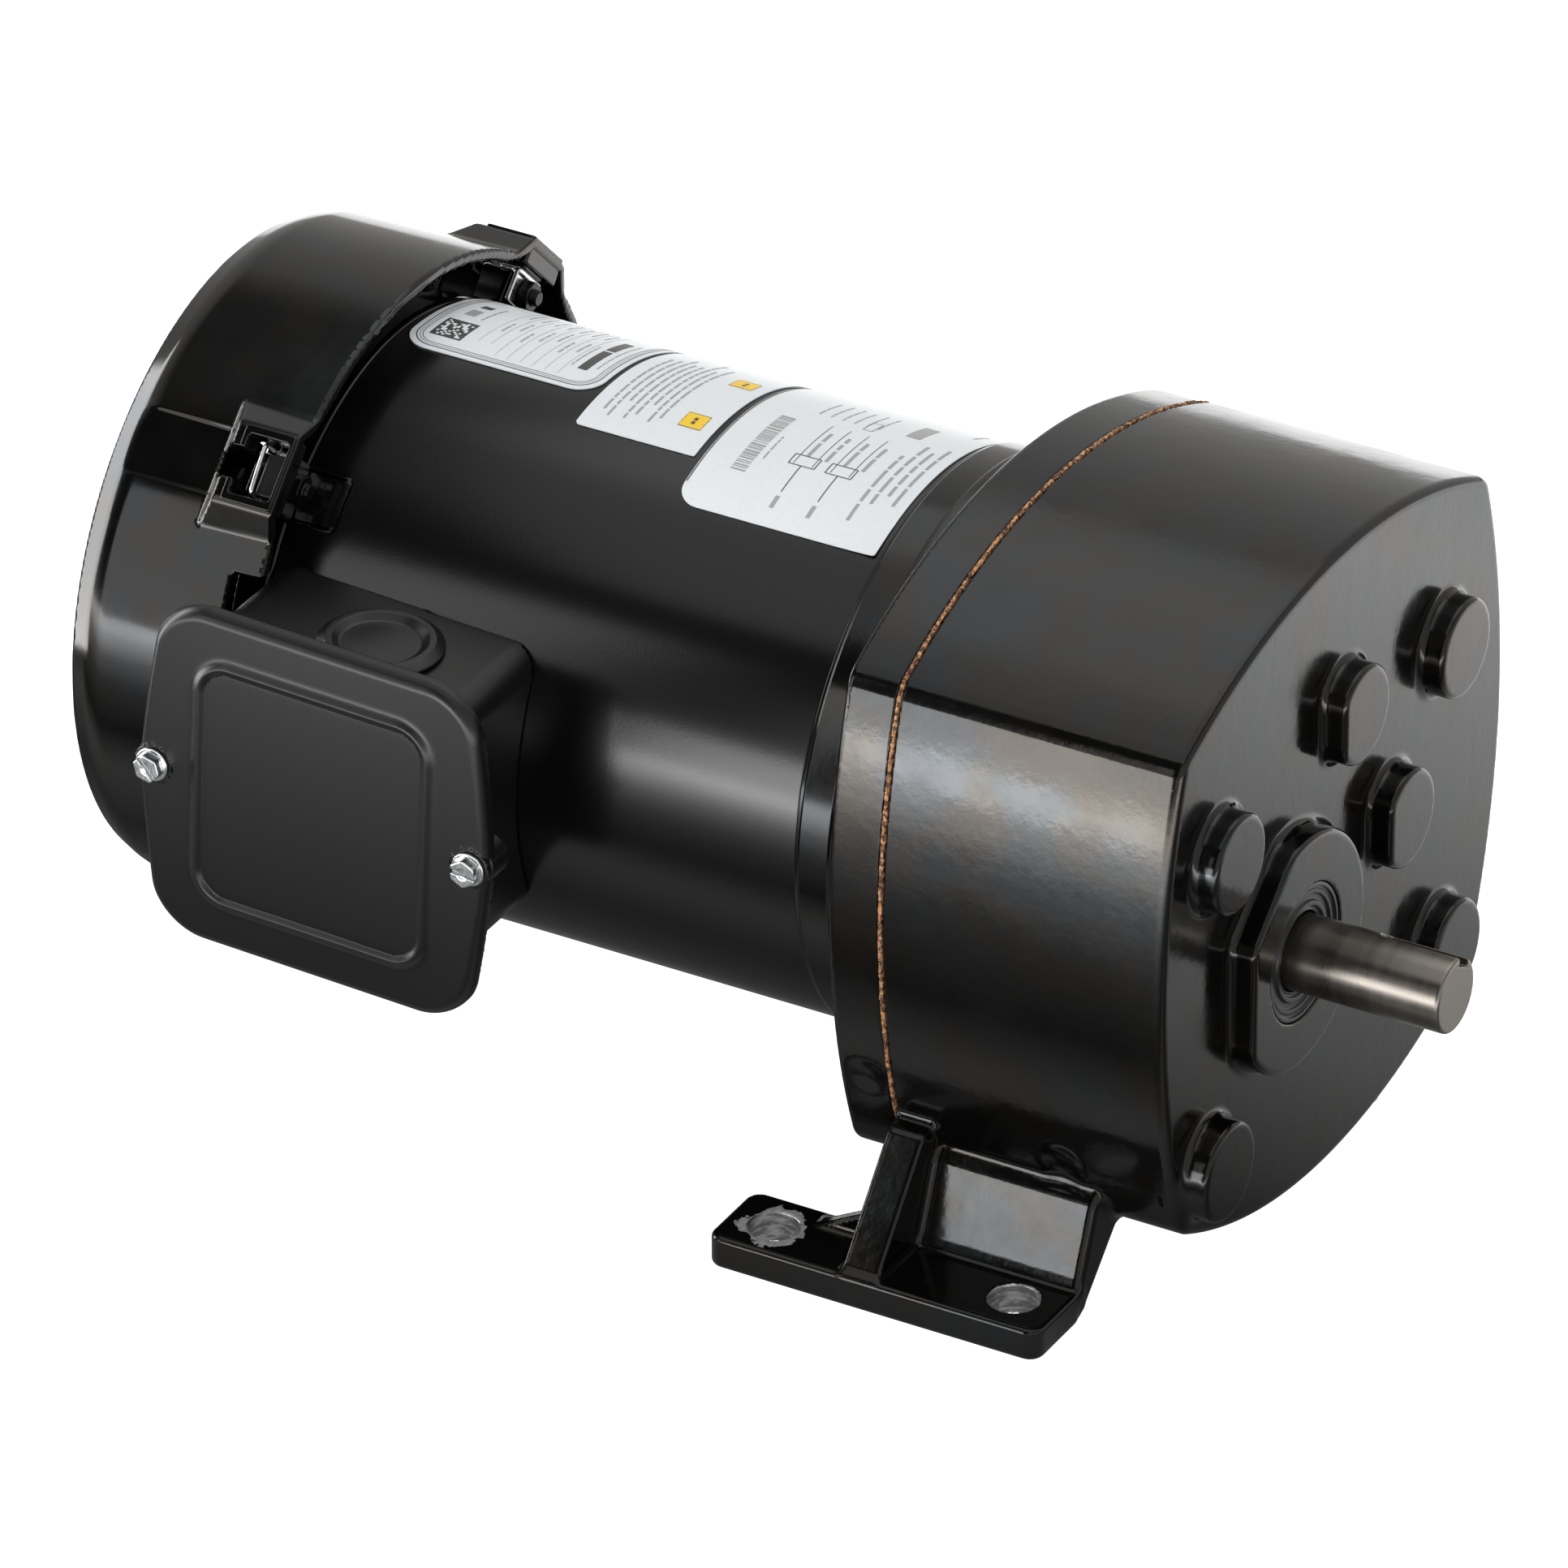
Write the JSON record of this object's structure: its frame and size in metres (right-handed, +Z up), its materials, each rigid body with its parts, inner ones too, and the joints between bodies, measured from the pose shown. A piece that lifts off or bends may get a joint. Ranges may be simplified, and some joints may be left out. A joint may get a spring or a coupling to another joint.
{
  "type": "parallel shaft gearmotor",
  "caption": "Foot-mounted parallel-shaft gearmotor: fan-cooled single-phase motor behind a spur gear case, keyed output shaft offset in front, terminal box on the motor's side.",
  "frame": {"origin": "centre of the output shaft's end face", "axes": "+X out of the shaft end, along the shaft; +Z up with the feet below; +Y towards the far foot, so that the terminal box is on the -Y side"},
  "size_m": [0.35, 0.2005, 0.1769],
  "materials": {
    "case_paint": "gloss black paint over a casting",
    "shell_paint": "satin black powder coat",
    "fan_plastic": "gloss black moulded plastic",
    "box_paint": "satin charcoal powder coat",
    "black_plastic": "matte black plastic",
    "shaft_steel": "ground steel",
    "gear_steel": "machined steel",
    "bearing_steel": "polished bearing steel",
    "zinc": "bright zinc plate",
    "gasket": "cork and rubber sheet",
    "seal": "rubber moulded on a metal ring",
    "bronze": "sintered bronze",
    "lamination": "stacked steel laminations",
    "copper": "varnished copper winding",
    "rotor": "laminated core with cast end rings",
    "label_film": "satin white film",
    "lead_insulation": "wire insulation",
    "board": "phenolic board"
  },
  "bodies": {
    "housing": {"gear_case": "case_paint", "gear_case_cover": "case_paint", "front_end_bell": "case_paint", "rear_end_bell": "case_paint", "motor_shell": "shell_paint", "fan_cover": "fan_plastic", "terminal_box": "box_paint", "terminal_box_cover": "box_paint", "knockout_plug": "black_plastic", "lead_grommet": "black_plastic", "output_bearing_outer_ring": "bearing_steel", "motor_front_bearing_outer_ring": "bearing_steel", "motor_rear_bearing_outer_ring": "bearing_steel", "case_screw_1": "zinc", "case_screw_2": "zinc", "case_screw_3": "zinc", "case_screw_4": "zinc", "through_bolt_1": "zinc", "through_bolt_2": "zinc", "through_bolt_3": "zinc", "through_bolt_4": "zinc", "cover_clip_1": "zinc", "cover_clip_2": "zinc", "cover_clip_3": "zinc", "cover_clip_4": "zinc", "terminal_box_screw_1": "zinc", "terminal_box_screw_2": "zinc", "case_gasket": "gasket", "output_seal": "seal", "motor_shaft_seal": "seal", "output_rear_bush": "bronze", "bush_a_rear": "bronze", "bush_b_rear": "bronze", "bush_a_front": "bronze", "bush_b_front": "bronze", "stator_core": "lamination", "winding_front": "copper", "winding_rear": "copper", "nameplate": "label_film", "centre_label": "label_film", "wiring_label": "label_film", "motor_leads": "lead_insulation", "start_switch": "board"},
    "rotor": {"motor_shaft": "shaft_steel", "rotor_core": "rotor", "cooling_fan": "black_plastic", "motor_front_bearing_inner_ring": "bearing_steel", "motor_rear_bearing_inner_ring": "bearing_steel", "governor_plate": "zinc"},
    "intermediate_a": {"intermediate_shaft_a": "gear_steel", "intermediate_gear_a": "gear_steel"},
    "intermediate_b": {"intermediate_shaft_b": "gear_steel", "intermediate_gear_b": "gear_steel"},
    "output": {"output_shaft": "shaft_steel", "output_gear": "gear_steel", "output_bearing_inner_ring": "bearing_steel"},
    "spool": {"governor_spool": "black_plastic"},
    "weight_1": {"governor_weight_1": "zinc"},
    "weight_2": {"governor_weight_2": "zinc"}
  },
  "joints": [
    {"name": "rotor_spin", "type": "hinge", "parent": "housing", "child": "rotor", "pos_m": [-0.12, 0.028, 0.0119], "axis": [1, 0, 0], "continuous": true},
    {"name": "intermediate_a_spin", "type": "hinge", "parent": "housing", "child": "intermediate_a", "pos_m": [-0.12, 0.02894, 0.05039], "axis": [1, 0, 0], "continuous": true},
    {"name": "intermediate_b_spin", "type": "hinge", "parent": "housing", "child": "intermediate_b", "pos_m": [-0.12, 0.05407, 0.00861], "axis": [1, 0, 0], "continuous": true},
    {"name": "output_spin", "type": "hinge", "parent": "housing", "child": "output", "pos_m": [-0.12, 0, 0], "axis": [1, 0, 0], "continuous": true},
    {"name": "governor_slide", "type": "slide", "parent": "rotor", "child": "spool", "axis": [1, 0, 0], "range_m": [0, 0.0025], "stiffness_N_per_m": 600, "springref_m": -0.004},
    {"name": "governor_weight_1_swing", "type": "hinge", "parent": "rotor", "child": "weight_1", "pos_m": [-0.277, 0.028, 0.0319], "axis": [0, 1, 0], "range_deg": [0, 10.5]},
    {"name": "governor_weight_2_swing", "type": "hinge", "parent": "rotor", "child": "weight_2", "pos_m": [-0.277, 0.028, -0.0081], "axis": [0, -1, 0], "range_deg": [0, 10.5]}
  ],
  "couplings": [
    {"joint": "intermediate_a_spin", "follows": "rotor_spin", "ratio": -0.20312},
    {"joint": "intermediate_b_spin", "follows": "rotor_spin", "ratio": 0.10156},
    {"joint": "output_spin", "follows": "rotor_spin", "ratio": -0.026266},
    {"joint": "governor_weight_1_swing", "follows": "governor_slide", "rad_per_m": 69.813},
    {"joint": "governor_weight_2_swing", "follows": "governor_slide", "rad_per_m": 69.813}
  ]
}
